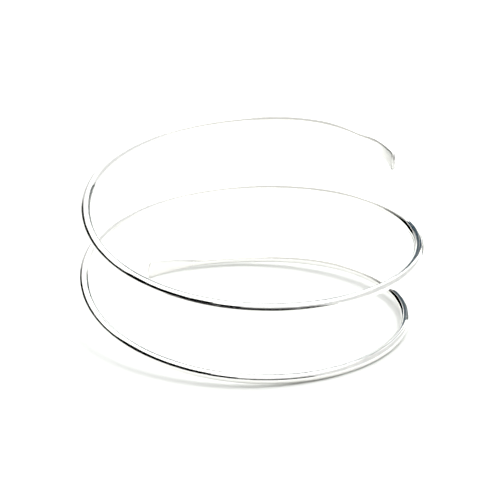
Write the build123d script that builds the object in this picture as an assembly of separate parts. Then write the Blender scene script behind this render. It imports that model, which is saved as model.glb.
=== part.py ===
from build123d import *
import math
import os

# Spiral coil bracelet: one length of round wire, wound left-handed, with both ends
# hammered into flared paddles. It is built about its own axis, from the top end down,
# and then laid down as it rests on a table. Millimetres and degrees.

# The coil
COIL_RADIUS = 32.7
WIRE_DIAMETER = 1.8
PITCH = 16.5
TOP_END_ANGLE = 14.0
ROWS_PER_TURN = 6

# The stiff ends were not bent as far as the rest: the first part of the top turn droops
# and the last part of the bottom turn lifts
TOP_DROOP = 2.6
END_LIFT = 4.2
SOFT_TURNS = 1 / 6

# The hammered ends
PADDLE_LENGTH = 14.0
PADDLE_WIDTH = 3.9
PADDLE_THICKNESS = 0.7
TIP_BULGE = 0.9

# The hand winding wanders: one row for each sixth of a turn, from the top end down to
# the bottom end
WINDING = (
    # distance from the axis, as a share of the coil's radius
    0.92,
    0.96,
    0.98,
    0.96,
    1.04,
    1.04,
    1.03,
    1.00,
    1.05,
    0.98,
    0.97,
    0.96,
    0.98,
    0.95,
    0.93,
)

# A paddle's sections, from the round wire to the tip. Its faces are arcs: the crown is how
# many degrees one turns from its middle to its edge, and 45 with no widening is the wire
PADDLE_SECTIONS = (
    # share of the length, share of the widening, share of the thinning, crown
    (0.0, 0.00, 0.00, 45),
    (0.2, 0.17, 0.30, 32),
    (0.4, 0.38, 0.60, 19),
    (0.6, 0.53, 0.82, 10),
    (0.8, 0.72, 0.94, 7),
    (1.0, 1.00, 1.00, 5),
)

TURNS = (len(WINDING) - 1) / ROWS_PER_TURN
POINTS_PER_TURN = 24
WIRE_RADIUS = WIRE_DIAMETER / 2


def winding_share(turns):
    """The winding table, read smoothly between its rows."""
    place = turns * ROWS_PER_TURN
    row = min(int(place), len(WINDING) - 2)
    part = place - row
    start = WINDING[row]
    end = WINDING[row + 1]
    before = WINDING[row - 1] if row > 0 else 2 * start - end
    after = WINDING[row + 2] if row + 2 < len(WINDING) else 2 * end - start
    slope_in = (end - before) / 2
    slope_out = (after - start) / 2
    rise = end - start
    square = 3 * rise - 2 * slope_in - slope_out
    cube = slope_in + slope_out - 2 * rise
    return start + part * (slope_in + part * (square + part * cube))


def coil_point(turns):
    """The wire's centre, a number of turns down from the top end."""
    radius = COIL_RADIUS * winding_share(turns)
    angle = math.radians(TOP_END_ANGLE + 360 * turns)
    droop = TOP_DROOP * max(0.0, 1 - turns / SOFT_TURNS) ** 2
    lift = END_LIFT * max(0.0, 1 - (TURNS - turns) / SOFT_TURNS) ** 2
    height = PITCH * (TURNS - turns) - droop + lift
    return Vector(radius * math.cos(angle), radius * math.sin(angle), height)


def make_path():
    """The wire's whole centreline, from the top end down to the bottom end."""
    count = round(TURNS * POINTS_PER_TURN)
    return Spline(*[coil_point(TURNS * step / count) for step in range(count + 1)])


def section_plane(path, share, outward):
    """The plane across the wire: X along the coil's axis, Z out of the wire's end."""
    along = path.tangent_at(share) * outward
    across = Vector(0, 0, 1) - along * along.Z
    return Plane(origin=path.position_at(share), x_dir=across, z_dir=along)


def hammered(plane, half_width, half_thickness, crown):
    """A flattened round: two crowned faces and two round edges, each one arc."""
    lean = math.tan(math.radians(crown) / 2)
    sine = math.sin(math.radians(crown))
    cosine = math.cos(math.radians(crown))
    edge_radius = (half_thickness - half_width * lean) / (cosine - lean * (1 - sine))
    corner_x = half_width - edge_radius * (1 - sine)
    corner_y = edge_radius * cosine
    outline = Wire([
        ThreePointArc((-corner_x, corner_y), (0, half_thickness), (corner_x, corner_y)),
        ThreePointArc((corner_x, corner_y), (half_width, 0), (corner_x, -corner_y)),
        ThreePointArc((corner_x, -corner_y), (0, -half_thickness), (-corner_x, -corner_y)),
        ThreePointArc((-corner_x, -corner_y), (-half_width, 0), (-corner_x, corner_y)),
    ])
    return plane * Face(outline)


def make_paddle(path, end_share, outward):
    """One hammered end, from the round wire to its rounded tip."""
    sections = []
    for length_share, widening, thinning, crown in PADDLE_SECTIONS:
        from_tip = PADDLE_LENGTH * (1 - length_share) / path.length
        half_width = WIRE_RADIUS + (PADDLE_WIDTH / 2 - WIRE_RADIUS) * widening
        half_thickness = WIRE_RADIUS + (PADDLE_THICKNESS / 2 - WIRE_RADIUS) * thinning
        plane = section_plane(path, end_share - outward * from_tip, outward)
        sections.append(hammered(plane, half_width, half_thickness, crown))
    blank = loft(sections)

    # The tip is trimmed to an arc that bulges along the wire
    tip_radius = (PADDLE_WIDTH ** 2 / 4 + TIP_BULGE ** 2) / (2 * TIP_BULGE)
    waste_size = 2 * PADDLE_WIDTH
    waste = Box(waste_size, waste_size, 2 * TIP_BULGE)
    kept = Pos(0, 0, -tip_radius) * Rot(90, 0, 0) * Cylinder(tip_radius, 2 * waste_size)
    return blank - section_plane(path, end_share, outward).location * (waste - kept)


def make_wire(path):
    """The round wire between the two paddles."""
    end_share = PADDLE_LENGTH / path.length
    start = section_plane(path, end_share, 1)
    finish = section_plane(path, 1 - end_share, 1)
    middle = path.trim(start.origin, finish.origin)
    return sweep(start * Circle(WIRE_RADIUS), path=middle)


def resting_lean(path):
    """How far the coil tips forward until its end and its lowest turn both touch."""
    tip = section_plane(path, 1 - TIP_BULGE / path.length, 1)
    tip_corner = tip.origin - tip.x_dir * (PADDLE_WIDTH / 2)
    front = [coil_point(TURNS - 0.25 - step / 100) for step in range(50)]

    def height(point, lean):
        return point.Y * math.sin(lean) + point.Z * math.cos(lean)

    low, high = 0.0, math.radians(30)
    for _ in range(40):
        lean = (low + high) / 2
        front_height = min(height(point, lean) for point in front) - WIRE_RADIUS
        if height(tip_corner, lean) > front_height:
            high = lean
        else:
            low = lean
    return math.degrees(lean)


def make_coil():
    """The whole bracelet, at rest, with the middle of its foot print at the origin."""
    path = make_path()
    wound = make_wire(path) + make_paddle(path, 0, -1) + make_paddle(path, 1, 1)
    lean = resting_lean(path)
    resting = Rot(lean, 0, 0) * wound
    box = resting.bounding_box()
    print("lean", round(lean, 2), "wire length", round(path.length, 1))
    print("section by length", round(math.pi * WIRE_RADIUS ** 2 * path.length, 1))
    return Pos(-box.center().X, -box.center().Y, -box.min.Z) * resting


os.makedirs("parts", exist_ok=True)
coil = make_coil()
export_step(coil, "parts/coil.step")
print("solids", len(coil.solids()), "faces", len(coil.faces()), "volume", round(coil.volume, 1))
print("size", coil.bounding_box().size)
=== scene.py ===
# %% [markdown]
# # A spiral coil bracelet in polished silver
# The bracelet is one length of round silver wire, wound by hand into two and a third
# turns, with both ends hammered into small flared paddles. This file dresses the packed
# solid: it makes a smoother copy of the wire with rounded, filed ends, gives it a
# mirror-polished finish, and lights it as a high-key studio picture on a white table.

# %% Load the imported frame
import math

import bmesh
import bpy
from mathutils import Matrix, Vector


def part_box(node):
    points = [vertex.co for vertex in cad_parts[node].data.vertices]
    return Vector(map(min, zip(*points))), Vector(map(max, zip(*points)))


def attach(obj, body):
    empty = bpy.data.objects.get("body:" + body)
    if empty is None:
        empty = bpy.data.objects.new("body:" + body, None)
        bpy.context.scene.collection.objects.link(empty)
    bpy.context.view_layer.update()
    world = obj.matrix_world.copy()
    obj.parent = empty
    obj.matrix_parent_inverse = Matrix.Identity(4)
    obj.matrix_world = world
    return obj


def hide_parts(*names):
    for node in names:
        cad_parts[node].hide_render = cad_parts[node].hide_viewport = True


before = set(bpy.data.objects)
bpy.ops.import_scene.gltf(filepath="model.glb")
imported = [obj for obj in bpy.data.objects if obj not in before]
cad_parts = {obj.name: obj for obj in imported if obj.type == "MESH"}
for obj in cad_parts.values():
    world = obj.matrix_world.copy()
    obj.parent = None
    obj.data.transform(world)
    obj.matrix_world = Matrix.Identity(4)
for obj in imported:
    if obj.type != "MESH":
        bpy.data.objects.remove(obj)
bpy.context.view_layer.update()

# %% [markdown]
# ## The camera
# The photograph was taken with a long lens from about a third of a metre, looking
# down at 21 degrees. A camera object looks along its own -Z axis, so its turn comes from
# the direction it looks in. A long lens keeps the near and far turns almost the same
# width, as the photograph shows them.

# %% Place the camera
scene = bpy.context.scene
CAMERA_PLACE = Vector((-0.0006, -0.3037, 0.1320))
CAMERA_LOOKS_AT = Vector((0.0001, 0.0011, 0.0155))
LENS_MM = 118.5

camera = bpy.data.objects.new("camera", bpy.data.cameras.new("camera"))
camera.data.lens = LENS_MM
camera.data.sensor_width = 36
camera.data.clip_start = 0.01
camera.location = CAMERA_PLACE
camera.rotation_euler = (CAMERA_LOOKS_AT - CAMERA_PLACE).to_track_quat("-Z", "Y").to_euler()
scene.collection.objects.link(camera)
scene.camera = camera
from_above = CAMERA_PLACE - CAMERA_LOOKS_AT
looks_down = math.degrees(math.asin(from_above.z / from_above.length))
print("camera looks down", round(looks_down, 1), "degrees")

# %% [markdown]
# ## The wire's line
# The wire follows a coil that a hand wound, so the distance from the axis wanders. A
# short table gives that distance for each sixth of a turn, as a share of the coil's
# radius, and a smooth reading between its rows makes one flowing line. The first sixth
# of the top turn droops and the last sixth of the bottom turn lifts, because the stiff
# ends were not bent as far as the rest.

# %% Sizes and the winding table
COIL_RADIUS = 0.0327
WIRE_RADIUS = 0.0009
PITCH = 0.0165
TOP_END_ANGLE = 14.0
ROWS_PER_TURN = 6
TOP_DROOP = 0.0026
END_LIFT = 0.0042
SOFT_TURNS = 1 / 6
SHORT_STEP = 0.0005

WINDING = (
    # distance from the axis, as a share of the coil's radius, from the top end down
    (0.92,),
    (0.96,),
    (0.98,),
    (0.96,),
    (1.04,),
    (1.04,),
    (1.03,),
    (1.00,),
    (1.05,),
    (0.98,),
    (0.97,),
    (0.96,),
    (0.98,),
    (0.95,),
    (0.93,),
)
TURNS = (len(WINDING) - 1) / ROWS_PER_TURN
print("turns", round(TURNS, 3))


# %% Read a table smoothly, and find a point of the wire
def smooth_row(table, place):
    """All columns of a table at a place between two of its rows."""
    row = min(max(int(place), 0), len(table) - 2)
    part = place - row
    values = []
    for column in range(len(table[0])):
        start, end = table[row][column], table[row + 1][column]
        before = table[row - 1][column] if row > 0 else 2 * start - end
        after = table[row + 2][column] if row + 2 < len(table) else 2 * end - start
        slope_in, slope_out, rise = (end - before) / 2, (after - start) / 2, end - start
        square = 3 * rise - 2 * slope_in - slope_out
        cube = slope_in + slope_out - 2 * rise
        values.append(start + part * (slope_in + part * (square + part * cube)))
    return values


def wire_point(turns):
    """The wire's centre, a number of turns down from the top end."""
    radius = COIL_RADIUS * smooth_row(WINDING, turns * ROWS_PER_TURN)[0]
    angle = math.radians(TOP_END_ANGLE + 360 * turns)
    droop = TOP_DROOP * max(0.0, 1 - turns / SOFT_TURNS) ** 2
    lift = END_LIFT * max(0.0, 1 - (TURNS - turns) / SOFT_TURNS) ** 2
    height = PITCH * (TURNS - turns) - droop + lift
    return Vector((radius * math.cos(angle), radius * math.sin(angle), height))


def wire_place(turns):
    """A matrix there: X across the wire along the coil's axis, Y through it, Z along it."""
    along = (wire_point(turns + SHORT_STEP) - wire_point(turns - SHORT_STEP)).normalized()
    across = (Vector((0, 0, 1)) - along * along.z).normalized()
    turn = Matrix((across, along.cross(across), along)).transposed()
    return Matrix.Translation(wire_point(turns)) @ turn.to_4x4()


print("top end", [round(1000 * side, 1) for side in wire_point(0)], "mm")

# %% [markdown]
# ## The hammered ends
# Each end was laid on a steel block and hammered, which spreads the wire sideways as it
# thins it, and the tip was then filed to a shallow curve with its sharp rim taken off. A
# second table gives the spread and the thinning along the last 14 mm. The flattening of
# the section is a squareness: 2 is a round, and a higher value has flatter faces with
# round edges.

# %% The shape of an end
PADDLE_LENGTH = 0.0140
PADDLE_HALF_WIDTH = 0.00195
PADDLE_HALF_THICKNESS = 0.00035
TIP_BULGE = 0.0009
TIP_ROUND = 0.0003

PADDLE = (
    # share of the widening, share of the thinning, squareness of the section
    (0.00, 0.00, 2.0),
    (0.17, 0.30, 2.1),
    (0.38, 0.60, 2.4),
    (0.53, 0.82, 2.8),
    (0.72, 0.94, 3.2),
    (1.00, 1.00, 3.4),
)


def section_size(from_tip):
    """Half width, half thickness and squareness of the wire, a distance from its tip."""
    if from_tip >= PADDLE_LENGTH:
        return WIRE_RADIUS, WIRE_RADIUS, 2.0
    place = (1 - from_tip / PADDLE_LENGTH) * (len(PADDLE) - 1)
    widening, thinning, squareness = smooth_row(PADDLE, place)
    half_width = WIRE_RADIUS + (PADDLE_HALF_WIDTH - WIRE_RADIUS) * widening
    half_thickness = WIRE_RADIUS + (PADDLE_HALF_THICKNESS - WIRE_RADIUS) * thinning
    if from_tip < TIP_ROUND:
        filed = TIP_ROUND - math.sqrt(TIP_ROUND ** 2 - (TIP_ROUND - from_tip) ** 2)
        half_width, half_thickness = half_width - filed, half_thickness - filed
    return half_width, half_thickness, squareness


print("tip", [round(1000 * side, 2) for side in section_size(TIP_ROUND)[:2]], "mm half sizes")

# %% [markdown]
# ## Drawing the wire
# A real wire is drawn through a plate, and its mesh can be made much the same way: start
# from one circle, extrude its edge loop a step along the line, put the new loop in its
# place, and repeat. A Curve with a bevel would be quicker, but it can't flatten the ends
# or file the tips. Every loop is set from its own matrix, so the section stays square to
# the wire all the way.

# %% Helpers for one loop of the wire
SIDES = 32
STEP_DEGREES = 1.0
TIP_STEPS = (0.0, 0.04, 0.15, 0.35, 0.65, 1.0)
TIP_CURVE_LENGTH = 4 * TIP_BULGE
HAMMER_FADE = 1.2


def section_point(corner, from_tip, outward):
    """Where one corner of the circle goes in the section's own frame."""
    half_width, half_thickness, squareness = section_size(from_tip)
    angle = 2 * math.pi * corner / SIDES
    power = 2 / squareness
    x = half_width * math.copysign(abs(math.cos(angle)) ** power, math.cos(angle))
    y = half_thickness * math.copysign(abs(math.sin(angle)) ** power, math.sin(angle))
    curve = max(0.0, 1 - from_tip / TIP_CURVE_LENGTH) ** 2
    back = TIP_BULGE * curve * (x / PADDLE_HALF_WIDTH) ** 2
    return Vector((x, y, -outward * back))


def loops_along_the_wire():
    """Each loop's place in turns, its distance from the nearer tip, and which way is out."""
    turn_length = 2 * math.pi * COIL_RADIUS * WINDING[0][0]
    tips = [TIP_ROUND * share for share in TIP_STEPS]
    loops = [(length / turn_length, length, -1) for length in tips]
    count = round(TURNS * 360 / STEP_DEGREES)
    lengths = [0.0]
    for step in range(1, count + 1):
        here, last = TURNS * step / count, TURNS * (step - 1) / count
        lengths.append(lengths[-1] + (wire_point(here) - wire_point(last)).length)
    for step in range(1, count):
        top, bottom = lengths[step], lengths[-1] - lengths[step]
        loops.append((TURNS * step / count, min(top, bottom), -1 if top < bottom else 1))
    loops += [(TURNS - length / turn_length, length, 1) for length in reversed(tips)]
    return loops, lengths[-1]


LOOPS, WIRE_LENGTH = loops_along_the_wire()
print("loops", len(LOOPS), "wire length", round(1000 * WIRE_LENGTH, 1), "mm")


# %% Draw the wire loop by loop
def next_loop(mesh, loop, edges):
    """Extrude the last loop's edges, and give the new corners in the same order."""
    made = bmesh.ops.extrude_edge_only(mesh, edges=edges)["geom"]
    fresh = {part for part in made if isinstance(part, bmesh.types.BMVert)}
    fresh_edges = [part for part in made if isinstance(part, bmesh.types.BMEdge)
                   and fresh.issuperset(part.verts)]
    following = {}
    for corner in fresh:
        for edge in corner.link_edges:
            other = edge.other_vert(corner)
            if other not in fresh:
                following[other] = corner
    return [following[corner] for corner in loop], fresh_edges


def draw_wire():
    """The whole bracelet about its own axis, with its own pattern space along the wire."""
    mesh = bmesh.new()
    wire_space = mesh.verts.layers.float_vector.new("wire_space")
    hammered = mesh.verts.layers.float.new("hammered")
    circle = bmesh.ops.create_circle(mesh, segments=SIDES, radius=WIRE_RADIUS, cap_ends=False)
    loop, edges = circle["verts"], list(mesh.edges)
    for number, (turns, from_tip, outward) in enumerate(LOOPS):
        if number:
            loop, edges = next_loop(mesh, loop, edges)
        place = wire_place(turns)
        distance = turns * WIRE_LENGTH / TURNS / WIRE_RADIUS
        worked = min(1.0, max(0.0, HAMMER_FADE * (1 - from_tip / PADDLE_LENGTH)))
        for number_of_corner, corner in enumerate(loop):
            angle = 2 * math.pi * number_of_corner / SIDES
            corner.co = place @ section_point(number_of_corner, from_tip, outward)
            corner[wire_space] = Vector((math.cos(angle), math.sin(angle), distance))
            corner[hammered] = worked
        if number in (0, len(LOOPS) - 1):
            bmesh.ops.edgeloop_fill(mesh, edges=edges)
    bmesh.ops.recalc_face_normals(mesh, faces=mesh.faces)
    return mesh


wire_mesh = draw_wire()
print("faces", len(wire_mesh.faces), "volume", round(1e9 * wire_mesh.calc_volume(), 1), "mm3")

# %% [markdown]
# ## Laying it down
# At rest the coil leans a few degrees: it touches the table with the lower corner of its
# bottom end and with the front of its lowest turn. The turn is applied to the mesh, and
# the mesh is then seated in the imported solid's box, so that the object itself stays at
# the origin, unturned.

# %% Turn, seat and hand over the wire
LEAN = 6.64
bmesh.ops.rotate(wire_mesh, verts=wire_mesh.verts, cent=(0, 0, 0),
                 matrix=Matrix.Rotation(math.radians(LEAN), 3, "X"))
low = Vector(min(corner.co[side] for corner in wire_mesh.verts) for side in range(3))
high = Vector(max(corner.co[side] for corner in wire_mesh.verts) for side in range(3))
box_low, box_high = (Vector(corner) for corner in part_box("coil"))
seat = (box_low + box_high - low - high) / 2
seat.z = box_low.z - low.z
bmesh.ops.translate(wire_mesh, verts=wire_mesh.verts, vec=seat)
for face in wire_mesh.faces:
    face.smooth = True

bracelet = bpy.data.objects.new("coil_wire", bpy.data.meshes.new("coil_wire"))
wire_mesh.to_mesh(bracelet.data)
wire_mesh.free()
scene.collection.objects.link(bracelet)
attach(bracelet, "root")
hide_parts("coil")
print("own size", [round(1000 * side, 2) for side in high - low], "mm")

# %% [markdown]
# ## Polished silver
# Silver is the whitest of the metals and this piece has a mirror polish, so the finish is
# a metallic surface with almost no roughness. What makes it look real is how slightly it
# fails. Drawing leaves fine lines along the wire, bending by hand leaves soft waves that
# bend the reflections, wear leaves hair marks, and the side that rubs on the skin is a
# little satin, as are the hammered ends. These patterns must follow the wire round the
# coil, so they read an attribute that the mesh carries: two numbers say how far round the
# section a point is, without a seam, and the third how far along the wire.


# %% Helpers for node trees
def put(tree, socket, value):
    """Set a socket to a number, or link it to another node's output."""
    if isinstance(value, bpy.types.NodeSocket):
        tree.links.new(value, socket)
    else:
        socket.default_value = value


def math_node(tree, operation, *values):
    """One Math node, fed by numbers or by other nodes' outputs."""
    node = tree.nodes.new("ShaderNodeMath")
    node.operation = operation
    for socket, value in zip(node.inputs, values):
        put(tree, socket, value)
    return node.outputs[0]


def soft_step(tree, value, low, high):
    """0 up to the low number and 1 from the high one, with a smooth rise between them."""
    node = tree.nodes.new("ShaderNodeMapRange")
    node.interpolation_type = "SMOOTHSTEP"
    put(tree, node.inputs["Value"], value)
    put(tree, node.inputs["From Min"], low)
    put(tree, node.inputs["From Max"], high)
    return node.outputs["Result"]


def noise(tree, vector, scale, detail):
    """Soft noise of a vector whose three axes are first stretched by their own scales."""
    stretch = tree.nodes.new("ShaderNodeVectorMath")
    stretch.operation = "MULTIPLY"
    put(tree, stretch.inputs[0], vector)
    put(tree, stretch.inputs[1], scale)
    texture = tree.nodes.new("ShaderNodeTexNoise")
    texture.inputs["Scale"].default_value = 1.0
    texture.inputs["Detail"].default_value = detail
    put(tree, texture.inputs["Vector"], stretch.outputs[0])
    return texture.outputs["Fac"]


print("helpers ready")

# %% The patterns on the silver
silver = bpy.data.materials.new("silver")
silver.use_nodes = True
metal = silver.node_tree


def wire_attribute(name):
    """An attribute of the mesh, read by name."""
    node = metal.nodes.new("ShaderNodeAttribute")
    node.attribute_name = name
    return node


wire_space = wire_attribute("wire_space").outputs["Vector"]
hammered = wire_attribute("hammered").outputs["Fac"]
round_section = metal.nodes.new("ShaderNodeSeparateXYZ")
put(metal, round_section.inputs[0], wire_space)
inner_side = soft_step(metal, round_section.outputs["Y"], 0.1, -0.7)

draw_lines = noise(metal, wire_space, (9.0, 9.0, 0.15), 4.0)
soft_waves = noise(metal, wire_space, (0.55, 0.55, 0.24), 1.0)
wandering = noise(metal, wire_space, (1.6, 1.6, 0.9), 3.0)
off_line = math_node(metal, "ABSOLUTE", math_node(metal, "SUBTRACT", wandering, 0.5))
hair_marks = math_node(metal, "SUBTRACT", 1.0, soft_step(metal, off_line, 0.0, 0.012))
print("patterns: draw lines, soft waves, hair marks")

# %% The silver finish
BRIGHT = (0.935, 0.93, 0.915, 1)
TARNISH = (0.80, 0.775, 0.70, 1)
POLISH, LINE_ROUGHNESS, MARK_ROUGHNESS = 0.02, 0.03, 0.08
SKIN_ROUGHNESS, HAMMER_ROUGHNESS = 0.18, 0.24
TARNISHED_SHARE = 0.25
WAVE_DEPTH, LINE_DEPTH, MARK_DEPTH = 0.00005, 0.000003, -0.000003

shader = metal.nodes["Principled BSDF"]
shader.inputs["Metallic"].default_value = 1.0
tone = metal.nodes.new("ShaderNodeMix")
tone.data_type = "RGBA"
put(metal, tone.inputs["Factor"], math_node(metal, "MULTIPLY", wandering, TARNISHED_SHARE))
tone.inputs["A"].default_value, tone.inputs["B"].default_value = BRIGHT, TARNISH
put(metal, shader.inputs["Base Color"], tone.outputs["Result"])

roughness = POLISH
for mask, amount in ((draw_lines, LINE_ROUGHNESS), (inner_side, SKIN_ROUGHNESS),
                     (hammered, HAMMER_ROUGHNESS), (hair_marks, MARK_ROUGHNESS)):
    roughness = math_node(metal, "MULTIPLY_ADD", mask, amount, roughness)
put(metal, shader.inputs["Roughness"], roughness)

normal = None
for height, depth in ((soft_waves, WAVE_DEPTH), (draw_lines, LINE_DEPTH), (hair_marks, MARK_DEPTH)):
    bump = metal.nodes.new("ShaderNodeBump")
    bump.inputs["Distance"].default_value = depth
    put(metal, bump.inputs["Height"], height)
    if normal:
        put(metal, bump.inputs["Normal"], normal)
    normal = bump.outputs["Normal"]
put(metal, shader.inputs["Normal"], normal)
bracelet.data.materials.append(silver)
print("silver nodes", len(metal.nodes))

# %% [markdown]
# ## The table
# The picture is high key: the object lies on a plain white table that is a little
# overexposed, so that only soft faint shadows are left. A filled circle is enough for it.
# The bracelet touches it at two places, its low tip and the front of its lowest turn. The
# table's slope about the line between them can't be read from the wire, but the shadows in
# the photograph show it, so the table is tilted by under a degree and then raised until it
# touches.

# %% The white table
TABLE_NORMAL = Vector((0.0107, 0.0102, 1.0)).normalized()
LIFT = TABLE_NORMAL.dot(min((corner.co for corner in bracelet.data.vertices), key=TABLE_NORMAL.dot))
TABLE_ACROSS = 8.0


def matt_finish(name, colour):
    """A matt finish with no gloss at all."""
    finish = bpy.data.materials.new(name)
    finish.use_nodes = True
    matt = finish.node_tree.nodes["Principled BSDF"]
    matt.inputs["Base Color"].default_value = colour
    matt.inputs["Roughness"].default_value = 0.9
    matt.inputs["Specular IOR Level"].default_value = 0.0
    return finish


def stage_sheet(name, size_x, size_y, x, y, above, finish):
    """An oval sheet that lies on the table, or is the table."""
    sheet_mesh = bmesh.new()
    bmesh.ops.create_circle(sheet_mesh, segments=96, radius=0.5, cap_ends=True)
    turn = Vector((0, 0, 1)).rotation_difference(TABLE_NORMAL).to_matrix()
    middle = turn @ Vector((x, y, 0)) + TABLE_NORMAL * (LIFT + above)
    bmesh.ops.scale(sheet_mesh, verts=sheet_mesh.verts, vec=(size_x, size_y, 1))
    bmesh.ops.rotate(sheet_mesh, verts=sheet_mesh.verts, cent=(0, 0, 0), matrix=turn)
    bmesh.ops.translate(sheet_mesh, verts=sheet_mesh.verts, vec=middle)
    sheet = bpy.data.objects.new(name, bpy.data.meshes.new(name))
    sheet_mesh.to_mesh(sheet.data)
    sheet_mesh.free()
    scene.collection.objects.link(sheet)
    sheet.data.materials.append(finish)
    return sheet


table = stage_sheet("table_top", TABLE_ACROSS, TABLE_ACROSS, 0, 0, 0,
                    matt_finish("white_table", (0.91, 0.915, 0.895, 1)))
print("table touches at", round(1000 * LIFT, 3), "mm")

# %% [markdown]
# ## The black cloth
# A polished wire shows whatever stands round it as lines along its length. The lower half
# of the dark band at the front is the edge of a black cloth on the table, nearer the
# camera. It could be a dark part of the room as well, but then it wouldn't end on the
# table. It is only there for reflections.

# %% Lay the black cloth
CLOTH_SIZE, CLOTH_MIDDLE, CLOTH_ABOVE = (0.73, 1.40), (0.008, -0.757), 0.0003
cloth = stage_sheet("black_cloth", *CLOTH_SIZE, *CLOTH_MIDDLE, CLOTH_ABOVE,
                    matt_finish("black_cloth", (0.02, 0.02, 0.02, 1)))
cloth.visible_camera = cloth.visible_diffuse = cloth.visible_shadow = False
print("only in reflections:", cloth.name)

# %% [markdown]
# ## The room round the table
# The long dark lines are the unlit room, behind the camera and to the left. The world's
# colour is worked out from the direction alone, and each row of a short table darkens one
# part of it. A noise breaks the dark parts up, as shelves and stands in a real room do.
# The picture itself sees plain white where the table ends.

# %% The dark parts of the room
DARK_PARTS = (
    # from and to azimuth (0 behind the bracelet, 90 right), from and to elevation,
    # softness of the upright edges and the top in degrees, darkness, mottling
    ("behind the camera", -205, -160, -9, 35, 5, 1.0, 0.0),
    ("behind the camera, left", -166, -86, -9, 53, 5, 1.0, 0.0),
    ("left", -92, -31, -9, 33, 5, 1.0, 0.0),
    ("behind the bracelet, left", -31, -18, 1, 38, 4, 0.6, 0.0),
    ("right", 40, 132, -9, 50, 6, 0.55, 0.25),
    ("behind the camera, right, low", 130, 205, -9, 18, 4, 1.0, 0.0),
    ("behind the camera, right", 130, 205, 18, 40, 6, 0.7, 0.0),
)
FLOOR_EDGE_SOFTNESS = 2.0
WORLD_LIGHT = 1.75
ROOM_COOL, ROOM_WARM = (0.97, 0.99, 1.0, 1), (1.0, 1.0, 0.97, 1)

world = bpy.data.worlds.new("studio")
scene.world = world
world.use_nodes = True
room = world.node_tree
looking = room.nodes.new("ShaderNodeTexCoord").outputs["Generated"]
direction = room.nodes.new("ShaderNodeSeparateXYZ")
put(room, direction.inputs[0], looking)
round_the_room = math_node(room, "ARCTAN2", direction.outputs["X"], direction.outputs["Y"])
azimuth = math_node(room, "DEGREES", round_the_room)
elevation = math_node(room, "DEGREES", math_node(room, "ARCSINE", direction.outputs["Z"]))
round_and_up = room.nodes.new("ShaderNodeCombineXYZ")
put(room, round_and_up.inputs[0], azimuth)
put(room, round_and_up.inputs[1], elevation)
mottle = noise(room, round_and_up.outputs[0], (0.30, 0.08, 0.0), 2.0)
mottle = soft_step(room, mottle, 0.52, 0.60)
print("the world knows its azimuth and elevation")

# %% Darken the parts
brightness = WORLD_LIGHT
for name, left, right, bottom, top, soft, darkness, mottling in DARK_PARTS:
    inside = darkness
    for value, edge, softness, way in ((azimuth, left, soft, 1), (azimuth, right, soft, -1),
                                       (elevation, bottom, FLOOR_EDGE_SOFTNESS, 1),
                                       (elevation, top, soft, -1)):
        step = soft_step(room, value, edge - way * softness, edge + way * softness)
        inside = math_node(room, "MULTIPLY", step, inside)
    patches = math_node(room, "MULTIPLY_ADD", mottle, -mottling, 1.0)
    part = math_node(room, "MULTIPLY", inside, patches)
    lit = math_node(room, "SUBTRACT", 1.0, part)
    brightness = math_node(room, "MULTIPLY", brightness, lit)
background = room.nodes["Background"]
seen = room.nodes.new("ShaderNodeLightPath").outputs["Is Camera Ray"]
put(room, background.inputs["Strength"], math_node(room, "MAXIMUM", brightness, seen))
tint = room.nodes.new("ShaderNodeMix")
tint.data_type = "RGBA"
put(room, tint.inputs["Factor"], mottle)
tint.inputs["A"].default_value, tint.inputs["B"].default_value = ROOM_COOL, ROOM_WARM
put(room, background.inputs["Color"], tint.outputs["Result"])
print("dark parts:", [row[0] for row in DARK_PARTS])

# %% [markdown]
# ## The soft lamp
# One large soft lamp high at the right throws the faint shadows to the left. A disk of
# nearly half a metre, a metre away, gives a shadow that is sharp where the wire touches
# the table and fades as the wire rises from it.


# %% Place the soft lamp
def place_lamp(name, shape, width, height, watts, place, facing):
    """A flat lamp at a place, which shines the way it faces."""
    lamp = bpy.data.objects.new(name, bpy.data.lights.new(name, "AREA"))
    lamp.data.shape = shape
    lamp.data.size, lamp.data.size_y = width, height
    lamp.data.energy = watts
    lamp.location = place
    lamp.rotation_euler = facing.to_track_quat("-Z", "Y").to_euler()
    scene.collection.objects.link(lamp)
    return lamp


LAMP_AZIMUTH, LAMP_ELEVATION = math.radians(94), math.radians(71)
LAMP_ACROSS, LAMP_WATTS = 0.45, 2.5
lamp_place = Vector((
    math.sin(LAMP_AZIMUTH) * math.cos(LAMP_ELEVATION),
    math.cos(LAMP_AZIMUTH) * math.cos(LAMP_ELEVATION),
    math.sin(LAMP_ELEVATION)))
soft_lamp = place_lamp("soft_lamp", "DISK", LAMP_ACROSS, LAMP_ACROSS, LAMP_WATTS,
                       lamp_place, -lamp_place)
print("soft lamp at", [round(side, 2) for side in soft_lamp.location], "m")

# %% [markdown]
# ## The fill panels
# The far turns would show the dark room as heavy lines, where the overexposed photograph
# has thin pale ones. Four weak upright panels, three of them inside the coil, shine towards
# those turns. A lamp of this kind shines to one side only, so the near turns don't show
# them, and only reflections see them.


# %% Place the fill panels
def reflected_panel(name, left, right, bottom, top, radiance, facing):
    """An upright lamp between two places on the plan, which only reflections see."""
    middle, width, height = (left + right) / 2, (right - left).length, top - bottom
    panel = place_lamp(name, "RECTANGLE", width, height, radiance * math.pi * width * height,
                       Vector((middle.x, middle.y, (bottom + top) / 2)), facing)
    panel.visible_camera = panel.visible_diffuse = False
    return panel


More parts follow.
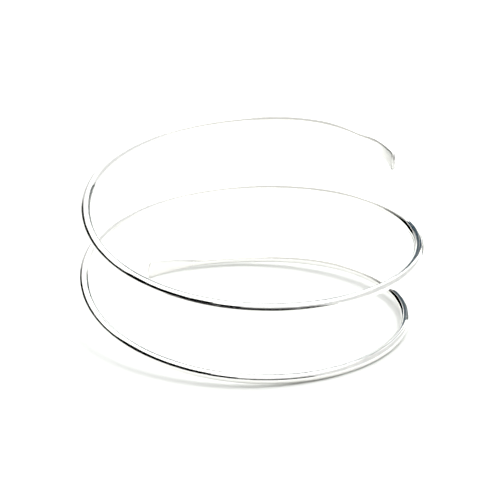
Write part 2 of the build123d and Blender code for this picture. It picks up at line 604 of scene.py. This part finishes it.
FILL_PANELS = (
    # x and y of each upright panel's left edge, and of its right edge
    (-0.0350, 0.0360, -0.0283, 0.0090),
    (-0.0283, 0.0090, -0.0115, -0.0200),
    (-0.0115, -0.0200, 0.0083, -0.0200),
    (0.0083, -0.0200, 0.0226, -0.0057),
)
FILL_BOTTOM, FILL_TOP, FILL_RADIANCE = 0.001, 0.085, 0.70
for number, corners in enumerate(FILL_PANELS):
    left, right = Vector(corners[:2]), Vector(corners[2:])
    away = Vector((left.y - right.y, right.x - left.x, 0))
    panel = reflected_panel(f"fill_panel_{number}", left, right, FILL_BOTTOM, FILL_TOP,
                            FILL_RADIANCE, away)
    panel.data.color = (1.0, 1.0, 0.96)
    print(panel.name, [round(1000 * place, 1) for place in panel.location], "mm")

# %% [markdown]
# ## The shade panels
# The right-hand turns are broken up by dark patches, and thin dark lines run along the
# left-hand turns. In a studio, small black cards close to the bracelet would do that. Cards
# would also hide the far turns and cast shadows, so these are lamps of negative strength,
# which take light away. A mirror in front of one shows a dark card there, and nothing else
# knows of it. A noise gives each card its pale patches. All of the panels use it, so it is
# one group, placed in each lamp's own nodes with its own values.

# %% The patches as a group
PATCH_EDGE = (0.57, 0.62)
PATCH_STRETCH = (1.0, 1.0, 0.2)

patchy_shade = bpy.data.node_groups.new("patchy_shade", "ShaderNodeTree")
for way, kind, name in (("INPUT", "NodeSocketFloat", "Patches per metre"),
                        ("INPUT", "NodeSocketColor", "Card"),
                        ("INPUT", "NodeSocketColor", "Patches"),
                        ("OUTPUT", "NodeSocketColor", "Shade")):
    patchy_shade.interface.new_socket(name, in_out=way, socket_type=kind)
given = patchy_shade.nodes.new("NodeGroupInput").outputs
position = patchy_shade.nodes.new("ShaderNodeNewGeometry").outputs["Position"]
finer = patchy_shade.nodes.new("ShaderNodeVectorMath")
finer.operation = "SCALE"
put(patchy_shade, finer.inputs[0], position)
put(patchy_shade, finer.inputs["Scale"], given["Patches per metre"])
upright = noise(patchy_shade, finer.outputs[0], PATCH_STRETCH, 1.0)
shade = patchy_shade.nodes.new("ShaderNodeMix")
shade.data_type = "RGBA"
put(patchy_shade, shade.inputs["Factor"], soft_step(patchy_shade, upright, *PATCH_EDGE))
put(patchy_shade, shade.inputs["A"], given["Card"])
put(patchy_shade, shade.inputs["B"], given["Patches"])
group_output = patchy_shade.nodes.new("NodeGroupOutput")
put(patchy_shade, group_output.inputs["Shade"], shade.outputs["Result"])
print("patchy shade nodes", len(patchy_shade.nodes))

# %% Place the shade panels
TAKES_LIGHT = -1.0
CARD_BLUE = 0.99

SHADE_PANELS = (
    # x and y of the left edge, x and y of the right edge, bottom, top, patches per metre,
    # brightness of the patches, light taken away
    ("shade_line_left", -0.0287, 0.0078, -0.0200, 0.0088, 0.0215, 0.0315, 500, 0.70, 1.25),
    ("shade_line_middle", -0.0200, 0.0088, 0.0040, 0.0120, 0.0200, 0.0440, 260, 0.40, 1.66),
    ("shade_line_low", -0.0298, 0.0078, -0.0100, 0.0102, 0.0070, 0.0140, 500, 0.70, 1.60),
    ("shade_line_right", 0.0040, 0.0120, 0.0210, 0.0128, 0.0290, 0.0460, 260, 0.40, 1.66),
    ("shade_inside_low", 0.0040, 0.0120, 0.0272, 0.0131, 0.0036, 0.0125, 400, 0.45, 1.50),
    ("shade_inside_high", 0.0040, 0.0120, 0.0262, 0.0130, 0.0178, 0.0260, 400, 0.45, 1.55),
    ("shade_gap_high", 0.0272, 0.0131, 0.0295, 0.0133, 0.0235, 0.0310, 400, 0.75, 1.64),
    ("shade_across_low", 0.0284, 0.0132, 0.0325, 0.0135, 0.0036, 0.0140, 400, 0.75, 1.62),
    ("shade_across_high", 0.0295, 0.0133, 0.0325, 0.0135, 0.0222, 0.0310, 400, 0.75, 1.64),
    ("shade_outside_low", 0.0325, 0.0135, 0.0600, 0.0400, 0.0036, 0.0140, 330, 0.40, 1.62),
    ("shade_outside_high", 0.0325, 0.0135, 0.0600, 0.0400, 0.0210, 0.0420, 330, 0.40, 1.64),
)
for name, x1, y1, x2, y2, bottom, top, patch_count, patch_light, taken in SHADE_PANELS:
    left, right = Vector((x1, y1)), Vector((x2, y2))
    facing = Vector((y2 - y1, x1 - x2, 0))
    panel = reflected_panel(name, left, right, bottom, top, TAKES_LIGHT, facing)
    panel.data.use_nodes = True
    tree = panel.data.node_tree
    group = tree.nodes.new("ShaderNodeGroup")
    group.node_tree = patchy_shade
    left_over = taken - patch_light
    put(tree, group.inputs["Patches per metre"], patch_count)
    put(tree, group.inputs["Card"], (taken, taken, CARD_BLUE * taken, 1))
    put(tree, group.inputs["Patches"], (left_over, left_over, left_over, 1))
    put(tree, tree.nodes["Emission"].inputs["Color"], group.outputs["Shade"])
scene.view_settings.view_transform = "Standard"
print("shade panels:", [row[0] for row in SHADE_PANELS])
